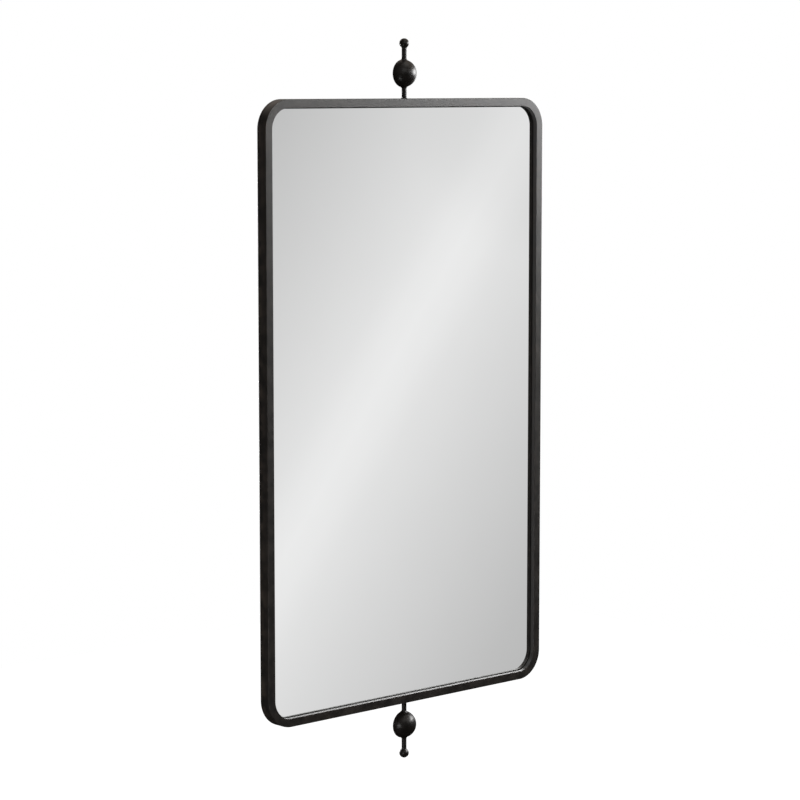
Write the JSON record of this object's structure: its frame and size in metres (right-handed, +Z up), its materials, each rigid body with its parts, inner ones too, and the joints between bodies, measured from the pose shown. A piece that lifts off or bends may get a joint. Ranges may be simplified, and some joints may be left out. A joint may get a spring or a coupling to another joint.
{
  "type": "pivot wall mirror",
  "caption": "Tall wall mirror in a slim round-cornered black tube frame that swivels on upright ball finial rods, held by a wall yoke hidden behind the glass.",
  "frame": {"origin": "middle of the wall rail's back face, on the wall, at mid width and mid height of the mirror", "axes": "+X along the mirror's width, +Y into the wall (the mirror faces -Y), +Z up along the pivot axis"},
  "size_m": [0.5588, 0.0933, 1.092],
  "materials": {
    "black_frame": "satin black-bronze coat on steel tube, slightly mottled",
    "black_finial": "satin black-bronze coat on cast and turned steel",
    "black_yoke": "matt black powder coat",
    "zinc": "bright zinc plate",
    "nylon": "moulded black nylon",
    "mirror": "silvered float glass, polished edge",
    "foam": "white closed-cell foam tape",
    "board": "fine brown fibreboard",
    "rubber": "soft black rubber"
  },
  "bodies": {
    "wall_yoke": {"wall_rail": "black_yoke", "upper_arm": "black_yoke", "lower_arm": "black_yoke", "upper_arm_screws": "zinc", "lower_arm_screws": "zinc", "upper_rod": "black_finial", "lower_rod": "black_finial", "upper_dome": "black_finial", "lower_dome": "black_finial", "upper_end_ball": "black_finial", "lower_end_ball": "black_finial", "upper_thrust_washer": "nylon"},
    "mirror": {"frame_tube": "black_frame", "upper_bush": "nylon", "lower_bush": "nylon", "lower_spacer_washer": "nylon", "mirror_glass": "mirror", "glass_tape": "foam", "backing_board": "board", "board_tabs": "black_frame", "board_screws": "zinc", "wall_bumpers": "rubber"}
  },
  "joints": [
    {"name": "mirror_swing", "type": "hinge", "parent": "wall_yoke", "child": "mirror", "pos_m": [0, -0.0755, 0], "axis": [0, 0, 1], "range_deg": [-14, 14]}
  ]
}
